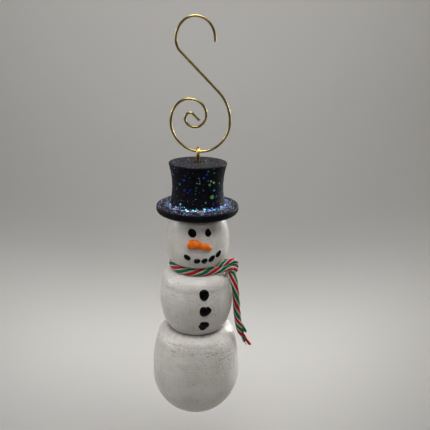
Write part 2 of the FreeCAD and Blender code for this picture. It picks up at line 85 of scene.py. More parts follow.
def lattice_noise(points, seed):
    """Smooth noise from -1 to 1 at (n, 3) points, about one bump to each unit."""
    points = np.asarray(points, float)
    cell = np.floor(points).astype(np.int64)
    ease = points - cell
    ease = ease * ease * (3 - 2 * ease)
    total = np.zeros(len(points))
    for corner in np.ndindex(2, 2, 2):
        at = cell + np.array(corner)
        mixed = at[:, 0] * 73856093 ^ at[:, 1] * 19349663 ^ at[:, 2] * 83492791
        mixed = (mixed ^ (seed + 1) * 40503) & 0xFFFFFFFF
        mixed = ((mixed ^ (mixed >> 13)) * 1274126177) & 0xFFFFFFFF
        value = ((mixed ^ (mixed >> 16)) & 0xFFFF) / 0x7FFF - 1
        weight = np.prod(np.where(np.array(corner) == 1, ease, 1 - ease), axis=1)
        total += weight * value
    return total


def eased(values, times, middle=2):
    """Values averaged with their neighbours, times over, with the two ends kept."""
    values = values.copy()
    for _ in range(times):
        values[1:-1] = (values[:-2] + middle * values[1:-1] + values[2:]) / (middle + 2)
    return values


def build(name, points, faces, material, smooth=True):
    """A mesh object from points in mm."""
    mesh = bpy.data.meshes.new(name)
    mesh.from_pydata([tuple(p) for p in np.asarray(points) * MM], [], faces)
    mesh.materials.append(material)
    mesh.polygons.foreach_set("use_smooth", [smooth] * len(mesh.polygons))
    mesh.update()
    piece = bpy.data.objects.new(name, mesh)
    bpy.context.scene.collection.objects.link(piece)
    return piece


def give(piece, name, values, kind="FLOAT"):
    """A named value for each vertex, for the material to read."""
    field = "value" if kind == "FLOAT" else "vector" if kind == "FLOAT_VECTOR" else "color"
    layer = piece.data.attributes.new(name, kind, "POINT")
    layer.data.foreach_set(field, np.asarray(values, np.float32).ravel())


def angles_round(count):
    return np.arange(count) / count * TURN


def grid_faces(rows, around):
    """Quads between rings of points."""
    faces = []
    for i in range(rows - 1):
        for j in range(around):
            k = (j + 1) % around
            a, b = i * around, (i + 1) * around
            faces.append((a + j, a + k, b + k, b + j))
    return faces


def tube_faces(rows, around):
    """A grid with a flat face on each end."""
    first = tuple(range(around))
    last = tuple((rows - 1) * around + j for j in first)
    return grid_faces(rows, around) + [first[::-1], last]


def poled_faces(rows, around):
    """A grid with a fan on each end, to the two points that follow it."""
    faces = grid_faces(rows, around)
    low, high, last = rows * around, rows * around + 1, (rows - 1) * around
    for j in range(around):
        k = (j + 1) % around
        faces += [(low, k, j), (high, last + j, last + k)]
    return faces


# -------- materials


class Paint:
    """One material, with short calls for the nodes that these materials use."""

    def __init__(self, name):
        self.material = bpy.data.materials.new(name)
        self.material.use_nodes = True
        self.tree = self.material.node_tree
        self.shader = self.tree.nodes["Principled BSDF"]

    def node(self, kind, inputs, output=0, **settings):
        made = self.tree.nodes.new("ShaderNode" + kind)
        for key, value in settings.items():
            setattr(made, key, value)
        for key, value in inputs.items():
            self.put(made.inputs[key], value)
        return made.outputs[output]

    def put(self, socket, value):
        """A link or a plain value on a socket. Colours are (red, green, blue)."""
        if isinstance(value, bpy.types.NodeSocket):
            self.tree.links.new(value, socket)
        elif socket.type == "RGBA":
            socket.default_value = (*value, 1)
        else:
            socket.default_value = value

    def set(self, **inputs):
        for key, value in inputs.items():
            self.put(self.shader.inputs[key.replace("_", " ")], value)

    def math(self, operation, *values):
        return self.node("Math", dict(enumerate(values)), operation=operation)

    def times(self, first, second):
        return self.math("MULTIPLY", first, second)

    def plus(self, first, second):
        return self.math("ADD", first, second)

    def place(self, scale=(1, 1, 1)):
        """Object coordinates in mm."""
        at = self.node("TexCoord", {}, output="Object")
        size = tuple(s / MM for s in scale)
        return self.node("Mapping", {"Vector": at, "Scale": size})

    def layer(self, name, scale=(1, 1, 1)):
        """A vector attribute of the mesh."""
        at = self.node("Attribute", {}, output="Vector", attribute_name=name)
        return self.node("Mapping", {"Vector": at, "Scale": scale})

    def value(self, name):
        """A plain attribute of the mesh."""
        return self.node("Attribute", {}, output="Fac", attribute_name=name)

    def noise(self, at, scale, detail=3.0, roughness=0.5):
        inputs = {"Vector": at, "Scale": scale, "Detail": detail, "Roughness": roughness}
        return self.node("TexNoise", inputs)

    def cells(self, at, scale):
        """Distance to the nearest of scattered points."""
        return self.node("TexVoronoi", {"Vector": at, "Scale": scale})

    def ramp(self, value, start, end, low=0.0, high=1.0):
        """The value eased from low to high while it goes from start to end."""
        inputs = {"Value": value, "From Min": start, "From Max": end}
        inputs.update({"To Min": low, "To Max": high})
        return self.node("MapRange", inputs, interpolation_type="SMOOTHSTEP")

    def mix(self, share, first, second):
        inputs = {"Factor": share, 6: first, 7: second}
        return self.node("Mix", inputs, output=2, data_type="RGBA")

    def rough(self, noise, least, most):
        self.set(Roughness=self.ramp(noise, 0.3, 0.7, least, most))

    def bump(self, height, distance_mm, strength=1.0):
        inputs = {"Height": height, "Distance": distance_mm * MM, "Strength": strength}
        self.set(Normal=self.node("Bump", inputs))


def white_paint():
    """Satin white on turned wood: turning rings, open pores, tear-out, and joint creases darkened
    partly by glue and partly by painted shade.
    """
    paint = Paint("white_paint")
    round_way = paint.layer("turned", (0.09, 0.09, 1))
    lathe_way = paint.layer("turned", (0.45, 0.45, 1))
    long_way = paint.layer("turned", (1, 1, 0.10))
    straight = paint.layer("turned")
    tone = paint.noise(straight, 0.09, 4, 0.6)
    streaks = paint.noise(round_way, 1.3, 6, 0.7)
    grain = paint.noise(long_way, 0.9, 4, 0.6)
    patches = paint.ramp(paint.noise(straight, 0.14, 3, 0.5), 0.42, 0.62)
    pores = paint.ramp(paint.cells(lathe_way, 0.95), 0.21, 0.08)
    pores = paint.times(pores, patches)
    fine = paint.ramp(paint.cells(straight, 1.7), 0.22, 0.08)
    fine = paint.times(fine, paint.ramp(paint.noise(straight, 0.28), 0.46, 0.60))
    holes = paint.math("MAXIMUM", paint.math("MAXIMUM", pores, fine), paint.value("pit"))
    whites = (0.785, 0.758, 0.715), (0.69, 0.66, 0.61)
    colour = paint.mix(paint.ramp(tone, 0.35, 0.7), *whites)
    streaked = paint.ramp(streaks, 0.50, 0.70, 0, 0.40)
    colour = paint.mix(streaked, colour, (0.52, 0.48, 0.42))
    grained = paint.ramp(grain, 0.50, 0.75, 0, 0.34)
    colour = paint.mix(grained, colour, (0.52, 0.475, 0.41))
    colour = paint.mix(paint.times(holes, 0.72), colour, (0.24, 0.20, 0.16))
    # the joint creases: glue darkening, and painted shade where the balls meet
    colour = paint.mix(paint.value("joint_glue_and_shade"), colour, (0.20, 0.165, 0.14))
    paint.set(Base_Color=colour, Specular_IOR_Level=0.5)
    paint.set(Coat_Weight=0.22, Coat_Roughness=0.28)
    paint.rough(paint.noise(lathe_way, 0.8, 4), 0.35, 0.52)
    height = paint.times(streaks, 0.75)
    height = paint.plus(height, paint.times(grain, 0.3))
    height = paint.plus(height, paint.times(paint.noise(straight, 2.2, 3), 0.2))
    height = paint.math("SUBTRACT", height, paint.times(holes, 1.3))
    paint.bump(height, 0.13, 0.9)
    return paint.material


def hat_paint():
    """Black paint with fine glitter dust in it, grey on the faces that look up: scuffed paint, and
    a painted sheen of the light from above.
    """
    paint = Paint("hat_paint")
    straight = paint.layer("turned")
    round_way = paint.layer("turned", (0.12, 0.12, 1))
    round_cells = paint.layer("turned", (0.75, 0.75, 1))
    wear_and_sheen = paint.value("wear_and_sheen")
    dust = paint.ramp(paint.cells(straight, 2.6), 0.24, 0.10)
    dust = paint.times(dust, paint.ramp(paint.noise(straight, 0.5, 3), 0.45, 0.65))
    tint = paint.noise(straight, 1.1, 2)
    blue, teal = (0.02, 0.03, 0.22), (0.02, 0.14, 0.12)
    dust_colour = paint.mix(paint.ramp(tint, 0.4, 0.6), blue, teal)
    scuff = paint.noise(round_way, 1.9, 6, 0.75)
    specks = paint.noise(straight, 1.6, 4, 0.7)
    scuffs_and_sheen = paint.times(paint.ramp(scuff, 0.40, 0.66), wear_and_sheen)
    chips = paint.ramp(paint.cells(round_cells, 0.95), 0.34, 0.16)
    chips = paint.times(chips, paint.ramp(paint.noise(straight, 0.55, 3), 0.44, 0.60))
    chips = paint.times(chips, wear_and_sheen)
    blacks = (0.0018, 0.0018, 0.0035), (0.004, 0.0037, 0.0065)
    colour = paint.mix(paint.noise(straight, 0.25, 3), *blacks)
    # grey on the faces that look up: scuffs, and painted sheen of the overhead light
    colour = paint.mix(paint.times(scuffs_and_sheen, 0.5), colour, (0.045, 0.042, 0.05))
    colour = paint.mix(paint.times(chips, 0.9), colour, (0.42, 0.41, 0.46))
    colour = paint.mix(dust, colour, dust_colour)
    paint.set(Base_Color=colour, Specular_IOR_Level=0.1)
    paint.set(Metallic=paint.times(dust, 0.5))
    paint.rough(scuff, 0.42, 0.65)
    height = paint.plus(paint.times(scuff, 0.7), specks)
    height = paint.plus(height, paint.times(dust, 0.6))
    paint.bump(height, 0.10, 0.9)
    return paint.material


def glitter():
    """Film flakes: a metallic face whose colour the mesh gives flake by flake."""
    paint = Paint("glitter")
    tint = paint.node("Attribute", {}, output="Color", attribute_name="flake_colour")
    shade = paint.ramp(paint.noise(paint.place(), 1.5, 2), 0.3, 0.7, 1.0, 1.5)
    inputs = {0: tint, "Scale": shade}
    colour = paint.node("VectorMath", inputs, operation="SCALE")
    paint.set(Base_Color=colour, Metallic=0.55, Coat_Weight=0.4, Coat_Roughness=0.12)
    paint.rough(paint.noise(paint.place(), 3, 2), 0.22, 0.42)
    return paint.material


def gloss_dab(name, deep, pale, roughness, dust, shine):
    """Thick dimensional paint: glossy, gently uneven, with a little dust on it."""
    paint = Paint(name)
    at = paint.place()
    tone = paint.noise(at, 0.7, 4, 0.6)
    specks = paint.ramp(paint.cells(at, 1.6), 0.14, 0.06, 0, dust)
    colour = paint.mix(paint.ramp(tone, 0.35, 0.7), deep, pale)
    paint.set(Base_Color=paint.mix(specks, colour, (0.5, 0.47, 0.42)))
    paint.rough(tone, roughness, roughness + 0.16)
    paint.set(Specular_IOR_Level=0.5 * shine, Coat_Weight=0.3 * shine, Coat_Roughness=0.12)
    paint.bump(paint.noise(at, 1.3, 4, 0.55), 0.06, 0.8)
    return paint.material


def metal(name, bright, dull, roughness, wear):
    """Plated wire: drawn lines along it, and patches where the plating has dulled."""
    paint = Paint(name)
    at = paint.place()
    tone = paint.noise(at, 0.16, 4, 0.6)
    fine = paint.noise(at, 3.0, 3, 0.6)
    colour = paint.mix(paint.ramp(tone, 0.4, 0.72, 0, wear), bright, dull)
    paint.set(Base_Color=colour, Metallic=1.0)
    paint.rough(fine, roughness, roughness + 0.12)
    paint.bump(fine, 0.012, 0.6)
    return paint.material


def yarn(name, deep, pale, sheen):
    """A ply of smooth spun yarn: fibres that lie at a slant round it, with a soft shine."""
    paint = Paint(name)
    fibre = paint.layer("ply")
    fuzz = paint.noise(fibre, 3.4, 4, 0.65)
    tone = paint.noise(paint.place(), 0.45, 3)
    colour = paint.mix(paint.ramp(fuzz, 0.3, 0.72), deep, pale)
    colour = paint.mix(paint.ramp(tone, 0.35, 0.7, 0, 0.45), colour, deep)
    paint.set(Base_Color=colour, Roughness=paint.ramp(fuzz, 0.3, 0.7, 0.42, 0.66))
    paint.set(Sheen_Weight=sheen, Sheen_Roughness=0.4, Specular_IOR_Level=0.22)
    paint.bump(fuzz, 0.16, 0.9)
    return paint.material


def bare_wood():
    """A hardwood dowel: long grain with darker pores."""
    paint = Paint("bare_wood")
    grain = paint.noise(paint.place((1, 1, 0.08)), 1.4, 5, 0.6)
    pores = paint.ramp(paint.cells(paint.place((1, 1, 0.15)), 1.8), 0.2, 0.08, 0, 0.6)
    colour = paint.mix(grain, (0.60, 0.43, 0.26), (0.78, 0.63, 0.44))
    paint.set(Base_Color=paint.mix(pores, colour, (0.33, 0.21, 0.11)))
    paint.rough(grain, 0.55, 0.75)
    paint.bump(grain, 0.08)
    return paint.material


WHITE = white_paint()
HAT = hat_paint()
GLITTER = glitter()
BLACKS = (0.001, 0.001, 0.0013), (0.003, 0.003, 0.0035)
BLACK_DAB = gloss_dab("black_dab", *BLACKS, roughness=0.14, dust=0.04, shine=0.2)
ORANGES = (0.84, 0.125, 0.0), (0.95, 0.23, 0.001)
ORANGE_DAB = gloss_dab("orange_dab", *ORANGES, roughness=0.30, dust=0.04, shine=0.6)
GOLD = metal("gold_wire", (0.56, 0.44, 0.17), (0.34, 0.24, 0.075), 0.22, 0.8)
BRASS = metal("brass_eye", (0.74, 0.47, 0.12), (0.42, 0.20, 0.05), 0.20, 0.8)
RED_YARN = yarn("red_yarn", (0.34, 0.002, 0.004), (0.72, 0.008, 0.012), 0.05)
GREEN_YARN = yarn("green_yarn", (0.001, 0.075, 0.030), (0.002, 0.24, 0.095), 0.05)
WHITE_YARN = yarn("white_yarn", (0.45, 0.43, 0.37), (0.78, 0.76, 0.69), 0.2)
WOOD = bare_wood()

# -------- turned outlines

BORE = 4.05  # radius of the dowels' holes
SHARP_WITHIN = BORE + 1  # corners nearer the axis stay sharp
PLAIN_WITHIN = BORE + 0.8  # surfaces nearer the axis have no relief
OUTER_FROM = 1.5 * BORE  # only the outer outline lies farther out

# (radius, height above the piece's lower face), from the lower end of the axis to the upper
# one. Two more numbers are the point that a round edge to the next one passes through.
HAT_OUTLINE = [
    (0, 10.0), (BORE, 10.0), (BORE, 0), (20.2, 0, 21.6, 0.7), (22.2, 2.4), (22.05, 3.9),
    (21.7, 4.25), (15.5, 4.6), (14.75, 5.3, 13.65, 15.9), (15.5, 26.7), (15.1, 27.1), (1.9, 27.1),
    (1.2, 26.4), (1.2, 13.1), (0, 13.1),
]
HEAD_OUTLINE = [
    (0, 12.5), (BORE, 12.5), (BORE, 0), (10.9, 0), (10.9, 4.05, 13.4, 4.6),
    (15.5, 6.6, 16.95, 10.2), (17.4, 15.9, 16.7, 23.9), (13.2, 32.5), (BORE, 32.5), (BORE, 22.0),
    (0, 22.0),
]
MIDDLE_OUTLINE = [
    (0, 12.5), (BORE, 12.5), (BORE, 0), (15.2, 0, 17.8, 3.9), (19.3, 8.2, 20.65, 18.6),
    (19.75, 27.4, 17.6, 32.9), (13.4, 34.8), (BORE, 34.8), (BORE, 22.3), (0, 22.3),
]
LOWER_OUTLINE = [
    (0, 0, 17.9, 7.45), (25.25, 26.5, 24.85, 36.5), (22.6, 48.5, 19.9, 53.2), (15.4, 55.8),
    (BORE, 55.8), (BORE, 43.3), (0, 43.3),
]


def arc(start, via, end, count):
    """count points from start along the arc through via, end left out."""
    (ax, ay), (bx, by), (cx, cy) = start, via, end
    d = 2 * (ax * (by - cy) + bx * (cy - ay) + cx * (ay - by))
    a2, b2, c2 = ax * ax + ay * ay, bx * bx + by * by, cx * cx + cy * cy
    ux = (a2 * (by - cy) + b2 * (cy - ay) + c2 * (ay - by)) / d
    uy = (a2 * (cx - bx) + b2 * (ax - cx) + c2 * (bx - ax)) / d
    reach = math.hypot(ax - ux, ay - uy)
    first, last = math.atan2(ay - uy, ax - ux), math.atan2(cy - uy, cx - ux)
    sweep = (last - first + math.pi) % TURN - math.pi
    angles = first + sweep * np.arange(count) / count
    return np.stack([ux + reach * np.cos(angles), uy + reach * np.sin(angles)], 1)


def outline_rows(stations, step, easing):
    """Points along an outline, every step mm outside the bores, with its corners eased."""
    rows = []
    for station, following in zip(stations, stations[1:]):
        start, via, end = station[:2], station[2:], following[:2]
        inside = max(start[0], end[0]) <= BORE
        count = 1 if inside else max(1, round(math.dist(start, end) / step))
        if via:
            rows.extend(arc(start, via, end, round(count * 1.1)))
        else:
            share = np.arange(count)[:, None] / count
            rows.extend(np.array(start) + (np.array(end) - start) * share)
    rows.append(stations[-1][:2])
    rows = np.array(rows)
    outside = rows[:, 0] > SHARP_WITHIN
    for _ in range(easing):
        rows[outside] = eased(rows, 1)[outside]
    return rows


class Turned:
    """A turned surface: where its outline runs, and the point above any place on it."""

    def __init__(self, node, stations, step=0.33, easing=3):
        self.base = cad_mm(node)[0][2]
        self.rows = outline_rows(stations, step, easing)
        steps = np.linalg.norm(np.diff(self.rows, axis=0), axis=1)
        self.along = np.concatenate([[0], np.cumsum(steps)])
        slope = np.gradient(self.rows, self.along, axis=0)
        slope /= np.linalg.norm(slope, axis=1)[:, None]
        self.out = np.stack([slope[:, 1], -slope[:, 0]], 1)
        self.outer = self.rows[:, 0] > OUTER_FROM

    def run_at(self, z):
        """Distance along the outer outline at a height z of the frame."""
        heights = np.where(self.outer, self.rows[:, 1], np.nan)
        return float(self.along[np.nanargmin(np.abs(heights - (z - self.base)))])

    def radius(self, run):
        return np.interp(run, self.along, self.rows[:, 0])

    def point(self, azimuth, run, above):
        """Points at azimuths (radians, 0 faces -Y, positive to +X) and runs along the
        outline, above mm off the surface."""
        radius = self.radius(run)
        height = np.interp(run, self.along, self.rows[:, 1])
        radius = radius + above * np.interp(run, self.along, self.out[:, 0])
        height = height + above * np.interp(run, self.along, self.out[:, 1])
        x, y = radius * np.sin(azimuth), -radius * np.cos(azimuth)
        return np.stack([x, y, self.base + height], -1)


ROUND = 20.0  # radius in mm of the drum that the "turned" texture coordinates lie on


def turn(name, surface, around, material, relief):
    """The mesh of a turned surface. relief(azimuth, run, height) gives each point's rise off
    the outline in mm, and the named values that the material reads there."""
    azimuth = angles_round(around)
    run, angle = np.meshgrid(surface.along, azimuth, indexing="ij")
    height = np.repeat(surface.rows[:, 1], around)
    run, angle = run.ravel(), angle.ravel()
    rise, layers = relief(angle, run, height)
    inside = np.repeat(surface.rows[:, 0] <= PLAIN_WITHIN, around)
    rise = np.where(inside, 0, rise)
    points = surface.point(angle, run, rise)

    def kept(values):
        """All but the end rings, and one value for each of those."""
        return np.concatenate([values[around:-around], values[[0, -1]]])

    piece = build(name, kept(points), poled_faces(len(surface.rows) - 2, around), material)
    piece.data.set_sharp_from_angle(angle=math.radians(50))
    drum = np.stack([ROUND * np.sin(angle), -ROUND * np.cos(angle), run], 1)
    give(piece, "turned", kept(drum), "FLOAT_VECTOR")
    for layer, values in layers.items():
        give(piece, layer, kept(values))
    return piece


# -------- white balls

chance = np.random.default_rng(11)


def rings(run, angle, seed, depth):
    """Turning rings: fine grooves round the piece that fade in and out."""
    around = np.stack([np.cos(angle), np.sin(angle)], 1) * 0.8
    total = np.zeros(len(run))
    for n, (pitch, share) in enumerate([(2.6, 0.8), (1.1, 0.7), (0.62, 0.45)]):
        at = np.column_stack([around + 7 * n, run / pitch])
        total += share * lattice_noise(at, seed + n)
    return depth * total


def scattered_pits(surface, angle, run, marks):
    """Depth from 0 to 1 of pits at marks: rows of azimuth, run, half length round, half
    height and depth."""
    radius = surface.radius(run)
    deepest = np.zeros(len(run))
    for azimuth, at, long, high, depth in marks:
        near = np.abs(run - at) < 3 * high
        turn_by = (angle[near] - azimuth + math.pi) % TURN - math.pi
        across = turn_by * radius[near] / long
        fall = np.exp(-(across**2) - ((run[near] - at) / high) ** 2)
        deepest[near] = np.maximum(deepest[near], depth * fall)
    return deepest


def make_marks(surface, bands):
    """Random pits: bands of (lowest z, highest z, how many, longest half length)."""
    marks = []
    for low, high, count, longest in bands:
        for _ in range(count):
            azimuth = chance.uniform(0, TURN)
            run = chance.uniform(surface.run_at(low), surface.run_at(high))
            long, tall = chance.uniform(0.3, longest), chance.uniform(0.28, 0.42)
            marks.append((azimuth, run, long, tall, chance.uniform(0.3, 1.0) ** 2))
    return marks


def tear_out(surface, rows):
    """Grain torn by the turning tool: rows of (z, first and last azimuth in degrees, how
    many, longest half length, depth), each a broken line round the piece."""
    marks = []
    for z, first, last, count, longest, depth in rows:
        for azimuth in np.linspace(first, last, count):
            azimuth = math.radians(azimuth + chance.uniform(-1.5, 1.5))
            run = surface.run_at(z) + chance.normal(0, 0.12)
            long, tall = chance.uniform(0.4, longest), chance.uniform(0.14, 0.24)
            marks.append((azimuth, run, long, tall, depth * chance.uniform(0.5, 1.0)))
    return marks


def open_pores(surface, patches):
    """Scattered pores: patches of (first and last azimuth in degrees, lowest and highest z,
    how many)."""
    marks = []
    for first, last, low, high, count in patches:
        for _ in range(count):
            azimuth = math.radians(chance.uniform(first, last))
            run = surface.run_at(chance.uniform(low, high))
            long, tall = chance.uniform(0.22, 0.44), chance.uniform(0.20, 0.36)
            marks.append((azimuth, run, long, tall, chance.uniform(0.4, 1.0)))
    return marks


def wood_relief(surface, seed, marks, creases):
    """The relief of one painted ball. creases lists (z, width) of joint lines, darkened partly by
    glue and partly by painted shade.
    """

    def relief(angle, run, height):
        radius = surface.radius(run)
        at = np.column_stack([radius * np.cos(angle), radius * np.sin(angle), height])
        rise = rings(run, angle, seed, 0.020) + 0.05 * lattice_noise(at / 9, seed + 5)
        rise += 0.018 * lattice_noise(at / 1.3, seed + 6)
        pits = scattered_pits(surface, angle, run, marks)
        # a darker band along each joint: partly glue, partly painted shade in the crease
        joint_glue_and_shade = np.zeros(len(run))
        for z, width in creases:
            away = np.abs(height + surface.base - z)
            away = away + 0.25 * width * lattice_noise(at / 1.8, seed + 8)
            joint_glue_and_shade = np.maximum(joint_glue_and_shade, 0.7 * np.clip(1.1 - away / width, 0, 1) ** 1.3)
        return rise - 0.16 * pits, {"pit": pits, "joint_glue_and_shade": joint_glue_and_shade}

    return relief


head = Turned("head", HEAD_OUTLINE)
middle = Turned("middle_ball", MIDDLE_OUTLINE)
lower = Turned("lower_ball", LOWER_OUTLINE)
hat = Turned("top_hat", HAT_OUTLINE, step=0.28, easing=1)

NECK_Z = cad_mm("middle_ball")[1][2]
WAIST_Z = cad_mm("lower_ball")[1][2]

head_marks = make_marks(head, [(-126, -99, 26, 0.7)])
middle_marks = make_marks(middle, [(-160, -133, 60, 0.8), (-164, -158, 30, 1.2)])
lower_marks = make_marks(
    lower, [(-185, -167, 110, 0.8), (-176, -172.5, 60, 1.6), (-210, -185, 90, 0.8)]
)
MIDDLE_TEARS = [
    (-143.6, -55, -12, 9, 2.0, 0.35), (-146.8, -58, -15, 8, 2.2, 0.30),
    (-150.2, -60, -20, 7, 1.8, 0.35), (-139.0, 36, 44, 3, 1.0, 0.4),
]
LOWER_TEARS = [
    (-170.1, -45, 33, 26, 1.7, 1.0), (-169.4, -38, 30, 15, 1.4, 0.7),
    (-171.2, -30, 26, 10, 1.2, 0.5), (-178.6, 29, 60, 9, 1.8, 0.8), (-176.4, 35, 57, 6, 1.5, 0.6),
    (-181.1, -25, 23, 9, 2.4, 0.5), (-183.8, -50, -30, 4, 2.0, 0.35),
    (-189.0, -28, 14, 8, 2.4, 0.4),
]
MIDDLE_PORES = [(22, 38, -154, -135, 36), (-75, -30, -141, -133, 20)]
LOWER_PORES = [
    (-85, -44, -173, -166.5, 60), (26, 62, -188, -166.5, 110), (-45, 26, -174, -170.5, 40),
    (62, 262, -182, -166.5, 160),
]
middle_marks += tear_out(middle, MIDDLE_TEARS) + open_pores(middle, MIDDLE_PORES)
lower_marks += tear_out(lower, LOWER_TEARS) + open_pores(lower, LOWER_PORES)
# the one round hole under the buttons
lower_marks.append((math.radians(0.5), lower.run_at(-166.0), 0.4, 0.4, 1.0))

# name, node, surface, points round it, marks, and joint lines darkened by glue and painted shade
# as (z, width)
BALLS = [
    ("snow_head", "head", head, 300, head_marks, [(NECK_Z, 0.8)]),
    ("snow_middle", "middle_ball", middle, 360, middle_marks, [(WAIST_Z, 0.8)]),
    ("snow_lower", "lower_ball", lower, 370, lower_marks, [(WAIST_Z, 0.9)]),
]
for seed, (name, node, surface, around, marks, creases) in enumerate(BALLS):
    relief = wood_relief(surface, 20 * seed + 3, marks, creases)
    ball = turn(name, surface, around, WHITE, relief)
    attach(ball, "figure")
    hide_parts(node)

# -------- top hat


def hat_relief(angle, run, height):
    """The relief of the hat, and how much grey its faces that look up take, for scuffs and a
    painted sheen.
    """
    radius = hat.radius(run)
    at = np.column_stack([radius * np.cos(angle), radius * np.sin(angle), height])
    rise = rings(run, angle, 90, 0.018) + 0.04 * lattice_noise(at / 6, 91)
    rise += 0.022 * lattice_noise(at / 0.9, 92)
    upward = np.interp(run, hat.along, hat.out[:, 1])
    # faces that look up get grey: scuffed paint and painted sheen
    wear_and_sheen = np.clip((upward - 0.3) / 0.5, 0, 1) * np.clip((radius - 1.8) / 0.8, 0, 1)
    return rise, {"wear_and_sheen": wear_and_sheen}


top_hat = turn("glitter_hat", hat, 320, HAT, hat_relief)
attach(top_hat, "figure")
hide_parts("top_hat")

FLAKE_COLOURS = {
    "blue": (0.02, 0.07, 0.70),
    "deep_blue": (0.012, 0.02, 0.33),
    "cyan": (0.04, 0.52, 0.88),
    "teal": (0.02, 0.38, 0.36),
    "green": (0.12, 0.42, 0.10),
    "lime": (0.50, 0.72, 0.26),
    "sage": (0.22, 0.34, 0.18),
    "violet": (0.30, 0.27, 0.78),
    "silver": (0.66, 0.70, 0.76),
    "smoke": (0.13, 0.12, 0.16),
}

# The crown's largest flakes: azimuth in degrees, height above the brim's foot, reach, colour.
CROWN_FLAKES = [
    (-65, 17.2, 0.4, "teal"), (-54, 10.1, 0.45, "teal"), (-42, 13.1, 0.7, "teal"),
    (-38, 2.7, 0.6, "teal"), (-38, 1.2, 0.7, "deep_blue"), (-30, 15.7, 0.65, "blue"),
    (-30, 10.1, 0.8, "deep_blue"), (-22, 9.2, 0.5, "blue"), (-16, 10.6, 0.45, "blue"),
    (-4, 6.1, 0.35, "sage"), (-3, 12.1, 0.4, "sage"), (-2, 14.5, 0.45, "sage"),
    (2, 17.2, 0.4, "sage"), (4, 14.3, 0.45, "lime"), (4, 15.8, 0.25, "cyan"),
    (12, 17.3, 0.75, "blue"), (17, 4.1, 0.4, "lime"), (18, 19.2, 0.5, "blue"),
    (20, 20.9, 0.5, "teal"), (22, 15.6, 0.35, "teal"), (26, 13.4, 0.68, "green"),
    (29, 15.2, 0.55, "silver"), (32, 6.9, 1.2, "green"), (34, 19.6, 0.5, "green"),
    (34, 2.8, 0.8, "deep_blue"), (36, 14.3, 0.6, "lime"), (38, 10.1, 0.6, "cyan"),
    (44, 6.9, 0.35, "teal"), (46, 3.9, 0.8, "deep_blue"), (53, 13.3, 0.65, "teal"),
    (56, 8.1, 0.5, "blue"),
]
# The bright drift where the crown meets the brim: azimuth, mm out from the foot, reach, colour.
FOOT_FLAKES = [
    (-80, 1.0, 0.6, "cyan"), (-70, 0.2, 0.6, "violet"), (-66, 0.8, 0.7, "silver"),
    (-47, 0.7, 0.8, "violet"), (-40, 0.3, 0.3, "silver"), (-28, 0.4, 0.85, "lime"),
    (-22, 0.0, 0.85, "cyan"), (-20, 4.8, 0.9, "silver"), (-18, 0.5, 0.8, "silver"),
    (-12, 1.7, 0.5, "teal"), (-7, 0.4, 0.75, "silver"), (0, 1.9, 0.5, "silver"),
    (2, 0.4, 1.0, "violet"), (7, 0.3, 0.7, "violet"), (13, 0.5, 0.6, "lime"),
    (14, -0.9, 0.75, "cyan"), (22, -1.0, 0.5, "blue"), (24, 0.1, 0.65, "lime"),
    (33, 0.3, 0.9, "cyan"), (41, 3.0, 0.7, "violet"), (54, -0.4, 1.0, "violet"),
    (72, 0.5, 0.6, "violet"), (74, 0.0, 0.5, "teal"),
]


FLAKE_LIFT = 0.03  # mm that a flake's middle stands off the paint
FLAKE_FACES = (0.06, -0.04)  # mm from there to its upper and lower faces


def flake(surface, azimuth, run, reach, sides, tilt):
    """Corners of one flake lying on the surface, its upper face then its lower."""
    centre = surface.point(azimuth, run, FLAKE_LIFT)
    out = surface.point(azimuth, run, FLAKE_LIFT + 1) - centre
    across = np.array([math.cos(azimuth), math.sin(azimuth), 0])
    out = out + tilt[0] * across + tilt[1] * np.cross(out, across)
    out /= np.linalg.norm(out)
    across -= out * np.dot(across, out)
    across /= np.linalg.norm(across)
    up = np.cross(out, across)
    spin = chance.uniform(0, math.pi)
    stretch = chance.uniform(0.7, 1.0)
    corners = []
    for lift in FLAKE_FACES:
        for n in range(sides):
            a = spin + n * TURN / sides
            aside = reach * (math.cos(a) * across + stretch * math.sin(a) * up)
            corners.append(centre + aside + lift * out)
    return corners


def add_flakes(rows):
    """One mesh of flakes. rows of (azimuth, run, reach, colour name, tilt)."""
    points, faces, colours = [], [], []
    for azimuth, run, reach, colour, tilt in rows:
        first = len(points)
        sides = 10 if reach > 1 else int(chance.integers(4, 7))
        points += flake(hat, azimuth, run, reach, sides, chance.normal(0, tilt, 2))
        faces.append(tuple(first + n for n in range(sides)))
        faces.append(tuple(first + 2 * sides - 1 - n for n in range(sides)))
        for n in range(sides):
            k = (n + 1) % sides
            faces.append((first + k, first + n, first + sides + n, first + sides + k))
        shade = chance.uniform(0.7, 1.2)
        base = [min(1, c * shade) for c in FLAKE_COLOURS[colour]]
        colours += [(*base, 1)] * (2 * sides)
    piece = build("hat_glitter", points, faces, GLITTER, smooth=False)
    give(piece, "flake_colour", colours, "FLOAT_COLOR")
    return piece


def scatter(count, low, high, reaches, colours, tilt, crowd=0.0):
    """Flakes at random between two runs of the hat's outline. crowd gathers them to the
    middle of the stretch."""
    rows = []
    names = [name for name, share in colours.items() for _ in range(share)]
    for _ in range(count):
        share = chance.uniform(0, 1)
        share = 0.5 + (share - 0.5) * (1 - crowd * chance.uniform(0, 1))
        azimuth = chance.uniform(0, TURN)
        reach = reaches[0] + (reaches[1] - reaches[0]) * chance.uniform(0, 1) ** 2
        colour = names[chance.integers(len(names))]
        rows.append((azimuth, low + share * (high - low), reach, colour, tilt))
    return rows


def run_near(radius, height):
    """The run of the hat's outline that passes nearest a radius and a height."""
    return hat.along[np.argmin(np.hypot(hat.rows[:, 0] - radius, hat.rows[:, 1] - height))]


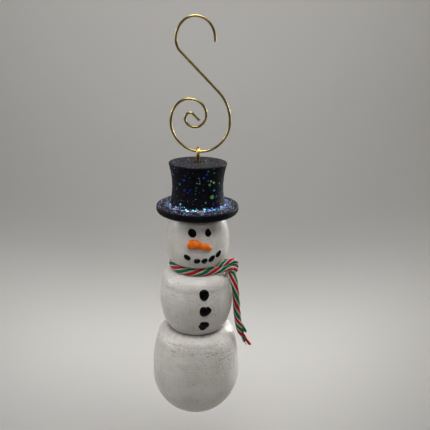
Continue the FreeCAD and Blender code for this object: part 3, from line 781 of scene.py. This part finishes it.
FOOT_RUN = run_near(15.3, 4.9)  # where the crown meets the brim
RIM_RUN = run_near(21.7, 4.25)  # the brim's upper edge
CROWN_RUN = run_near(15.3, 26.9)  # the crown's upper edge
flakes = [(math.radians(a), FOOT_RUN + rise, *look, 0.06) for a, rise, *look in CROWN_FLAKES]
flakes += [(math.radians(a), FOOT_RUN - out, *look, 0.25) for a, out, *look in FOOT_FLAKES]
BACK_FLAKES = {"blue": 3, "deep_blue": 5, "teal": 3, "green": 1, "sage": 1, "lime": 1}
SMALL_FLAKES = {"deep_blue": 5, "teal": 3, "smoke": 5, "blue": 1, "violet": 1}
FOOT_COLOURS = {"cyan": 3, "silver": 4, "violet": 4, "blue": 3, "lime": 1, "teal": 2, "smoke": 2}
BRIM_COLOURS = {"smoke": 7, "silver": 3, "violet": 2, "deep_blue": 2}
TOP_COLOURS = {"smoke": 5, "silver": 1}
large = scatter(60, FOOT_RUN + 2, CROWN_RUN - 0.5, (0.35, 0.9), BACK_FLAKES, 0.08)
flakes += [row for row in large if abs(row[0] - math.pi) < math.radians(110)]
flakes += scatter(260, FOOT_RUN + 1, CROWN_RUN, (0.14, 0.36), SMALL_FLAKES, 0.12)
flakes += scatter(420, FOOT_RUN - 3.2, FOOT_RUN + 1.5, (0.2, 0.75), FOOT_COLOURS, 0.3, 0.7)
flakes += scatter(620, RIM_RUN + 0.2, FOOT_RUN - 0.8, (0.12, 0.42), BRIM_COLOURS, 0.3)
flakes += scatter(150, CROWN_RUN + 0.8, CROWN_RUN + 12, (0.1, 0.3), TOP_COLOURS, 0.25)
glitter_piece = add_flakes(flakes)
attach(glitter_piece, "figure")

# -------- raised paint


def smooth_ring(radii, count):
    """Radii at equal angles, eased into count of them by a closed cubic."""
    at = np.arange(count) / count * len(radii)
    low = np.floor(at).astype(int)
    part = at - low
    p0, p1, p2, p3 = (np.array(radii)[(low + k) % len(radii)] for k in (-1, 0, 1, 2))
    return p1 + 0.5 * part * (
        p2 - p0 + part * (2 * p0 - 5 * p1 + 4 * p2 - p3 + part * (3 * (p1 - p2) + p3 - p0))
    )


PAINT_SINK = 0.06  # mm that a dab's rim lies under the white paint
PAINT_ROOT = -0.35  # mm above the white paint of a dab's hidden underside


def domed(name, surface, azimuth, z, radii, thickness, seed):
    """A dab of thick black paint whose outline is radii in mm, anticlockwise from its right
    side, round the point at an azimuth and height."""
    around, rings_in = 72, 16
    rim = smooth_ring(radii, around)
    run = surface.run_at(z)
    radius = surface.radius(run)
    angles = angles_round(around)
    points = []
    for n in range(1, rings_in + 1):
        share = math.sin(n / rings_in * math.pi / 2)
        across, up = share * rim * np.cos(angles), share * rim * np.sin(angles)
        lift = thickness * max(0, 1 - share**3.2) ** 0.55
        lumps = lattice_noise(np.stack([across, up, 0 * up], 1) / 1.4, seed)
        lift = lift * (1 + 0.2 * lumps * (1 - share**4)) - PAINT_SINK
        points.append(surface.point(azimuth + across / radius, run + up, lift))
    across, up = 0.9 * rim * np.cos(angles), 0.9 * rim * np.sin(angles)
    points.append(surface.point(azimuth + across / radius, run + up, PAINT_ROOT))
    points = np.concatenate(points)
    crown = surface.point(azimuth, run, thickness - PAINT_SINK)
    under = surface.point(azimuth, run, PAINT_ROOT)
    faces = [f[::-1] for f in poled_faces(rings_in + 1, around)]
    return build(name, np.concatenate([points, [crown, under]]), faces, BLACK_DAB)


MIDDLE_BUTTON = [3.7, 3.3, 3.0, 2.6, 3.3, 3.1, 2.95, 3.1, 3.2, 3.0, 2.85, 3.05]
BOTTOM_BUTTON = [3.15, 3.2, 3.2, 3.1, 3.25, 2.5, 2.85, 2.65, 3.05, 2.95, 2.3, 2.4]
# node: surface, azimuth (degrees), z, outline radii anticlockwise from the right, thickness
DABS = {
    "left_eye": (head, -9.6, -105.0, [2.25, 2.1, 2.25, 2.5, 2.3, 2.05, 2.2, 2.5], 0.95),
    "right_eye": (head, 20.0, -104.9, [1.8, 1.8, 2.2, 1.85, 1.75, 1.8, 2.15, 1.95], 0.95),
    "mouth_dab_1": (head, -17.5, -118.2, [1.8, 1.4, 1.5, 2.0, 1.8, 1.5, 1.65, 2.15], 0.75),
    "mouth_dab_2": (head, 0.0, -120.3, [1.7, 1.75, 1.5, 1.75, 1.7, 1.6, 1.5, 1.55], 0.75),
    "mouth_dab_3": (head, 13.1, -120.4, [1.7, 1.9, 1.65, 1.5, 1.7, 1.7, 1.6, 1.5], 0.75),
    "mouth_dab_4": (head, 26.6, -119.3, [1.65, 2.25, 1.9, 1.5, 1.7, 2.3, 1.8, 1.5], 0.75),
    "mouth_dab_5": (head, 40.2, -117.4, [1.6, 2.15, 1.6, 1.35, 1.75, 2.2, 1.85, 1.55], 0.75),
    "top_button": (middle, 11.6, -138.6, [2.7, 2.85, 3.1, 3.15, 2.7, 2.8, 3.3, 2.8], 1.1),
    "middle_button": (middle, 12.6, -147.9, MIDDLE_BUTTON, 1.1),
    "bottom_button": (middle, 11.6, -157.5, BOTTOM_BUTTON, 1.1),
}
for seed, (node, (surface, azimuth, z, radii, thickness)) in enumerate(DABS.items(), 200):
    azimuth = math.radians(azimuth)
    dab = domed(node + "_paint", surface, azimuth, z, radii, thickness, seed)
    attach(dab, "figure")
    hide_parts(node)

# The nose from its round end to its tip: azimuth in degrees, and its upper and lower edges
# in mm along the face from NOSE_Z.
NOSE = [
    (-17.2, -0.1, -0.1), (-16.4, 1.3, -1.3), (-14.5, 2.2, -1.9), (-11.5, 2.9, -2.25),
    (-7.5, 3.15, -2.2), (-3.0, 3.1, -2.05), (1.0, 2.75, -2.0), (4.5, 2.1, -2.1), (7.5, 1.3, -2.35),
    (10.0, 0.85, -2.6), (13.0, 0.95, -2.8), (16.5, 0.8, -2.95), (20.0, 0.25, -3.0),
    (22.8, -0.5, -2.85), (24.6, -1.2, -2.5), (25.4, -1.8, -1.8),
]
NOSE_Z = -111.2
NOSE_SWELL = 2.15  # mm that it stands off the face where it is tallest
NOSE_LEAST = 0.08  # half height in mm of its two ends


def carrot():
    """The nose: rounded sections square to its length, closed under the paint."""
    run = head.run_at(NOSE_Z)
    length, half_around = 72, 22
    table = np.array(NOSE)
    share = (1 - np.cos(np.linspace(0, math.pi, length))) / 2
    azimuth = table[0, 0] + (table[-1, 0] - table[0, 0]) * share
    top = np.interp(azimuth, table[:, 0], table[:, 1])
    bottom = np.interp(azimuth, table[:, 0], table[:, 2])
    top, bottom = eased(top, 3), eased(bottom, 3)
    middle_line, half = (top + bottom) / 2, np.maximum((top - bottom) / 2, NOSE_LEAST)
    turns = np.linspace(0, math.pi, half_around)
    points = []
    for n in range(length):
        at_azimuth = np.full(half_around, math.radians(azimuth[n]))
        up = run + middle_line[n] + half[n] * np.cos(turns)
        swell = NOSE_SWELL * math.sqrt(half[n] / half.max())
        lift = swell * np.sin(turns) ** 0.8 - PAINT_SINK
        lumps = lattice_noise(np.stack([at_azimuth * 8, up / 2, lift], 1), 300)
        lift = lift + 0.14 * lumps * np.sin(turns)
        points.append(head.point(at_azimuth, up, lift))
        under = run + middle_line[n] + 0.8 * half[n] * np.cos(turns[::-1])
        points.append(head.point(at_azimuth, under, PAINT_ROOT))
    faces = tube_faces(length, 2 * half_around)
    return build("nose_paint", np.concatenate(points), faces, ORANGE_DAB)


nose = carrot()
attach(nose, "figure")
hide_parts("nose")

# -------- scarf cord

RING_Z = NECK_Z + 2.1
RING_RADIUS = 13.0
JAW = (-95, 0.9, 0.7)  # azimuth where it pushes the cord most, mm outwards and mm up


def ring_mm(degrees):
    """A point on the middle line round the neck, where the jaw pushes its left side out."""
    jaw, outwards, upwards = JAW
    a = math.radians(degrees)
    pushed = max(0, math.cos(a - math.radians(jaw))) ** 2
    reach = RING_RADIUS + outwards * pushed
    return (reach * math.sin(a), -reach * math.cos(a), RING_Z + upwards * pushed)


# The cord from its tucked end, over the knot and down behind it, round the back of the neck
# to the front, and across the knot into the hanging tail.
KNOT_WRAP = [
    (21.2, -4.6, -131.0), (20.4, -6.6, -127.9), (17.0, -6.8, -126.4), (13.0, -8.4, -127.2),
    (12.6, -10.2, -125.2), (16.4, -8.2, -123.9), (19.9, -6.0, -124.3), (21.5, -3.9, -127.2),
    (21.2, -2.6, -130.6), (19.8, -0.6, -131.2), (18.0, 1.0, -129.2), (15.2, 2.4, -128.3),
]
KNOT_CROSS = [
    (12.6, -9.9, -127.8), (15.0, -9.9, -127.0), (17.2, -9.3, -126.8), (18.8, -7.9, -127.8),
    (18.7, -6.7, -129.0), (18.9, -6.4, -130.2),
]
TAIL_ROUTE = [
    (18.9, -6.4, -130.2), (20.1, -7.6, -134.0), (21.1, -8.0, -139.2), (21.9, -7.2, -145.6),
    (22.5, -6.0, -152.5), (23.2, -4.8, -159.2), (24.4, -3.7, -165.6), (26.2, -2.8, -171.6),
    (28.4, -2.2, -177.4),
]
SPLINE_STEPS = 16  # points to each stretch of a route's curve
NECK = [KNOT_WRAP[-1]] + [ring_mm(a) for a in range(-206, 37, 22)] + [KNOT_CROSS[0]]


def spline_points(route):
    """Points in mm along the NURBS spline that has the route's points as its controls."""
    curve = bpy.data.curves.new("route", "CURVE")
    curve.dimensions = "3D"
    curve.resolution_u = SPLINE_STEPS
    spline = curve.splines.new("NURBS")
    spline.points.add(len(route) - 1)
    for point, at in zip(spline.points, route):
        point.co = (at[0] * MM, at[1] * MM, at[2] * MM, 1)
    spline.order_u = 3
    spline.use_endpoint_u = True
    holder = bpy.data.objects.new("route", curve)
    mesh = bpy.data.meshes.new_from_object(holder)
    line = np.array([v.co[:] for v in mesh.vertices]) / MM
    bpy.data.objects.remove(holder)
    bpy.data.meshes.remove(mesh)
    bpy.data.curves.remove(curve)
    return line


def run_along(line):
    """Distance of each point from the line's start."""
    return np.concatenate([[0], np.cumsum(np.linalg.norm(np.diff(line, axis=0), axis=1))])


def evenly(line, step):
    """The line resampled at even steps."""
    along = run_along(line)
    at = np.linspace(0, along[-1], max(2, round(along[-1] / step)) + 1)
    return np.stack([np.interp(at, along, line[:, k]) for k in range(3)], 1)


def moving_frame(line):
    """Two directions square to the line at each point, carried along it without twist."""
    ahead = np.gradient(line, axis=0)
    ahead /= np.linalg.norm(ahead, axis=1)[:, None]
    side = np.cross(ahead[0], (0, 0, 1.0))
    sides = []
    for forward in ahead:
        side = side - forward * np.dot(side, forward)
        side /= np.linalg.norm(side)
        sides.append(side)
    sides = np.array(sides)
    return sides, np.cross(ahead, sides)


STEP = 0.3
END_SPARE = 3.0  # mm that the longest plies may reach past the tail's end
# part of the cord: its route, and its lay in mm at even steps along it
PARTS = {
    "wrap": (KNOT_WRAP, [20, 20]),
    "neck": (NECK, [22, 22]),
    "cross": (KNOT_CROSS, [20, 23]),
    "tail": (TAIL_ROUTE, [31, 30, 27, 21, 15, 13]),
}
line, lays, slices = None, [], {}
for part, (route, part_lays) in PARTS.items():
    found = evenly(spline_points(route), STEP)
    if part == "tail":
        onward = (found[-1] - found[-2]) * np.arange(1, round(END_SPARE / STEP) + 1)[:, None]
        found = np.concatenate([found, found[-1] + onward])
    start = 0 if line is None else len(line) - 1
    line = found if line is None else np.concatenate([line, found[1:]])
    slices[part] = slice(start, start + len(found))
    share = np.linspace(0, len(part_lays) - 1, len(found))
    lays[start:] = np.interp(share, np.arange(len(part_lays)), part_lays)
line = eased(line, 4)
side_way, up_way = moving_frame(line)
cord_run = run_along(line)
PHASE = 0.04  # share of a turn at the tucked end, which sets where the stripes fall
laid = PHASE - np.concatenate([[0], np.cumsum(np.diff(cord_run) / np.array(lays)[1:])])
# The cord is pulled thinner where it is tied.
KNOT_THINNER = 0.14
knot_share = np.zeros(len(line))
knot_share[slices["wrap"]] = 1
knot_share[slices["cross"]] = 0.5
tightness = 1 - KNOT_THINNER * eased(knot_share, 40, middle=1)

# share of the turn, material, radius, distance from the middle, mm that the ply is cut short
# at the tail's end, and mm that it has come away sideways (right, back, up) there
PLIES = [
    (0.0, RED_YARN, 1.0, 0.98, 3.0, (-0.9, 0.2, 0.0)),
    (0.25, GREEN_YARN, 1.0, 0.98, 4.2, (-0.4, -0.5, 0.0)),
    (0.5, RED_YARN, 1.0, 0.98, 1.2, (2.4, 0.2, 0.2)),
    (0.75, GREEN_YARN, 1.0, 0.98, 10.5, (2.0, -0.2, 0.0)),
    (0.125, WHITE_YARN, 0.38, 1.62, 2.4, (-0.9, -0.4, 0.0)),
    (0.375, WHITE_YARN, 0.34, 1.58, 4.6, (0.2, -0.5, 0.0)),
    (0.625, WHITE_YARN, 0.38, 1.62, 2.0, (1.9, -0.3, 0.2)),
    (0.875, WHITE_YARN, 0.34, 1.58, 4.0, (0.3, 0.4, 0.0)),
]
AROUND_PLY = 16
SPLAY_RUN = 9.0  # mm of its cut end over which a ply comes away
FIBRE_LAY = 5.0  # mm along a ply to one turn of its fibres
CUT_ROUND = 0.9  # mm over which a cut ply is rounded
WAVER = 4.5  # mm along the cord to each waver of its plies


def ply_centre(ply, part):
    """A ply's middle line, laid left handed round the cord, and its radius."""
    share, _, radius, reach, cut, splay = PLIES[ply]
    span = slices[part]
    run = cord_run[span]
    wander = np.column_stack([run / WAVER, np.full(len(run), 3.1 * ply), 0 * run])
    turned = TURN * (share + laid[span] + 0.016 * lattice_noise(wander, 400))
    reach = tightness[span] * (reach + 0.12 * lattice_noise(wander, 401))
    radius = tightness[span] * radius * (1 + 0.10 * lattice_noise(wander * 1.3, 402))
    out = np.cos(turned)[:, None] * side_way[span] + np.sin(turned)[:, None] * up_way[span]
    centre = line[span] + reach[:, None] * out
    if part == "tail":
        kept = run <= run[-1] - cut
        leaves = int(np.argmax(run >= run[-1] - cut - SPLAY_RUN))
        away = np.clip((run - run[leaves]) / SPLAY_RUN, 0, 1)
        free = centre[leaves] + line[span] - line[span][leaves]
        free = free + away[:, None] * np.array(splay)
        loose = np.clip(1.8 * away, 0, 1)
        loose = (loose**2 * (3 - 2 * loose))[:, None]
        centre = centre + loose * (free - centre)
        radius = radius * (1 - 0.25 * away)
        centre, radius = centre[kept], radius[kept]
    return centre, radius


def ply_mesh(name, centre, radius, material, start_cut, end_cut):
    """One spun ply round its middle line: a slightly lobed tube, rounded where it is cut."""
    sides, ups = moving_frame(centre)
    angles = angles_round(AROUND_PLY)
    along = run_along(centre)
    points, layer = [], []
    for n in range(len(centre)):
        slanted = angles - along[n] / FIBRE_LAY * TURN
        from_start = along[n] if start_cut else CUT_ROUND
        to_end = along[-1] - along[n] if end_cut else CUT_ROUND
        close = math.sqrt(min(1, 0.08 + min(from_start, to_end) / CUT_ROUND))
        size = radius[n] * (1 + 0.06 * np.cos(3 * slanted)) * close
        ring = np.cos(angles)[:, None] * sides[n] + np.sin(angles)[:, None] * ups[n]
        points.append(centre[n] + size[:, None] * ring)
        way = np.full(AROUND_PLY, along[n] * 0.14)
        layer.append(np.stack([np.cos(slanted), np.sin(slanted), way], 1))
    faces = tube_faces(len(centre), AROUND_PLY)
    piece = build(name, np.concatenate(points), faces, material)
    give(piece, "ply", np.concatenate(layer), "FLOAT_VECTOR")
    return piece


def join(name, pieces):
    """The pieces as one object."""
    whole = pieces[0]
    chosen = dict(active_object=whole, object=whole, selected_editable_objects=pieces)
    with bpy.context.temp_override(**chosen):
        bpy.ops.object.join()
    whole.name = whole.data.name = name
    return whole


def cord_piece(name, parts):
    """Every ply of some parts of the cord."""
    made = []
    for part in parts:
        for ply in range(len(PLIES)):
            centre, radius = ply_centre(ply, part)
            label = f"{name}_{part}_{ply}"
            cut_ends = (part == "wrap", part == "tail")
            made.append(ply_mesh(label, centre, radius, PLIES[ply][1], *cut_ends))
    return join(name, made)


neck_cord = cord_piece("scarf_neck_cord", ["neck"])
knot_cord = cord_piece("scarf_knot_cord", ["wrap", "cross"])
tail_cord = cord_piece("scarf_tail_cord", ["tail"])
CORDS = {"scarf_neck_loop": neck_cord, "scarf_knot": knot_cord, "scarf_tail": tail_cord}
for node, piece in CORDS.items():
    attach(piece, "figure")
    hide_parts(node)

[tuple(p * MM) for p in spline_points(TAIL_ROUTE)]

# -------- metal and hidden wood

SHOWN_AS_CAD = {"swirl_hook": GOLD, "screw_eye": BRASS}
SHOWN_AS_CAD.update({"hat_dowel": WOOD, "neck_dowel": WOOD, "waist_dowel": WOOD})
for node, material in SHOWN_AS_CAD.items():
    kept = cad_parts[node]
    kept.data.materials.clear()
    kept.data.materials.append(material)

# -------- stage and light


def stage_material():
    """Matt pale grey paper."""
    paint = Paint("stage")
    at = paint.node("TexCoord", {}, output="Object")
    mottle = paint.noise(at, 3.0, 2)
    paint.set(Base_Color=paint.mix(mottle, (0.474, 0.461, 0.440), (0.498, 0.487, 0.470)))
    paint.set(Roughness=0.9, Specular_IOR_Level=0.1)
    return paint.material


FLOOR_Z = cad_mm("lower_ball")[0][2] - 70  # the figure hangs 70 mm above the floor
TENT_RADIUS = 520
TENT_HEIGHT = 560
FLAT_RADIUS = 150  # where the floor starts to sweep up into the wall


def tent():
    """A round pale floor whose edge sweeps up into a wall, open at the top."""
    outline = [(0.001, FLOOR_Z), (50, FLOOR_Z), (FLAT_RADIUS, FLOOR_Z)]
    sweep, steps = TENT_RADIUS - FLAT_RADIUS, 32
    for n in range(1, steps + 1):
        a = n / steps * math.pi / 2
        outline.append((FLAT_RADIUS + sweep * math.sin(a), FLOOR_Z + sweep * (1 - math.cos(a))))
    outline.append((TENT_RADIUS, TENT_HEIGHT))
    around = 128
    angles = angles_round(around)
    points = [
        np.stack([r * np.cos(angles), r * np.sin(angles), np.full(around, z)], 1)
        for r, z in outline
    ]
    faces = grid_faces(len(outline), around)
    return build("floor", np.concatenate(points), faces, stage_material())


tent()

world = bpy.data.worlds.new("soft light")
bpy.context.scene.world = world
world.use_nodes = True
sky = world.node_tree.nodes["Background"]
sky.inputs["Color"].default_value = (0.95, 0.97, 1.0, 1)
sky.inputs["Strength"].default_value = 0.05


def soft_light(name, place, aim, size, power, spread):
    """A panel of light aimed at a point. Metres, watts and the beam's spread in degrees."""
    light = bpy.data.lights.new(name, "AREA")
    light.shape = "RECTANGLE"
    light.size, light.size_y = size
    light.energy = power
    light.spread = math.radians(spread)
    holder = bpy.data.objects.new(name, light)
    holder.visible_camera = False
    bpy.context.scene.collection.objects.link(holder)
    holder.location = place
    holder.rotation_mode = "QUATERNION"
    holder.rotation_quaternion = (Vector(aim) - Vector(place)).to_track_quat("-Z", "Y")


FIGURE = (0, 0, -0.12)
FACE = (0, 0, -0.102)
# name: place, aim, size, watts, spread
LIGHTS = {
    "overhead": ((0, 0.05, 0.44), FIGURE, (0.36, 0.16), 0.13, 60),
    "ceiling": ((0, -0.15, 0.43), FIGURE, (0.36, 0.30), 0.26, 75),
    "front_key": ((0, -0.30, 0.34), FIGURE, (0.30, 0.16), 0.048, 45),
    "face_fill": ((0.05, -0.38, 0.10), FACE, (0.08, 0.08), 0.0018, 12),
    "right_key": ((0.20, -0.20, 0.36), FIGURE, (0.20, 0.20), 0.045, 45),
    "left_panel": ((-0.38, 0.04, 0.02), (0, 0, -0.10), (0.20, 0.30), 0.070, 40),
    "right_rim": ((0.30, 0.26, -0.05), (0, 0, -0.17), (0.20, 0.20), 0.15, 50),
    "back_floor": ((0, 0.18, 0.42), (0, 0.18, -0.29), (0.54, 0.08), 0.145, 26),
    "right_floor": ((0.30, 0.12, 0.16), (0.24, 0.16, -0.28), (0.15, 0.15), 0.040, 90),
    "back_wash": ((0, 0.10, 0.40), (0, 0.50, 0.02), (0.66, 0.15), 1.12, 105),
}
for name, (place, aim, size, power, spread) in LIGHTS.items():
    soft_light(name, place, aim, size, power, spread)
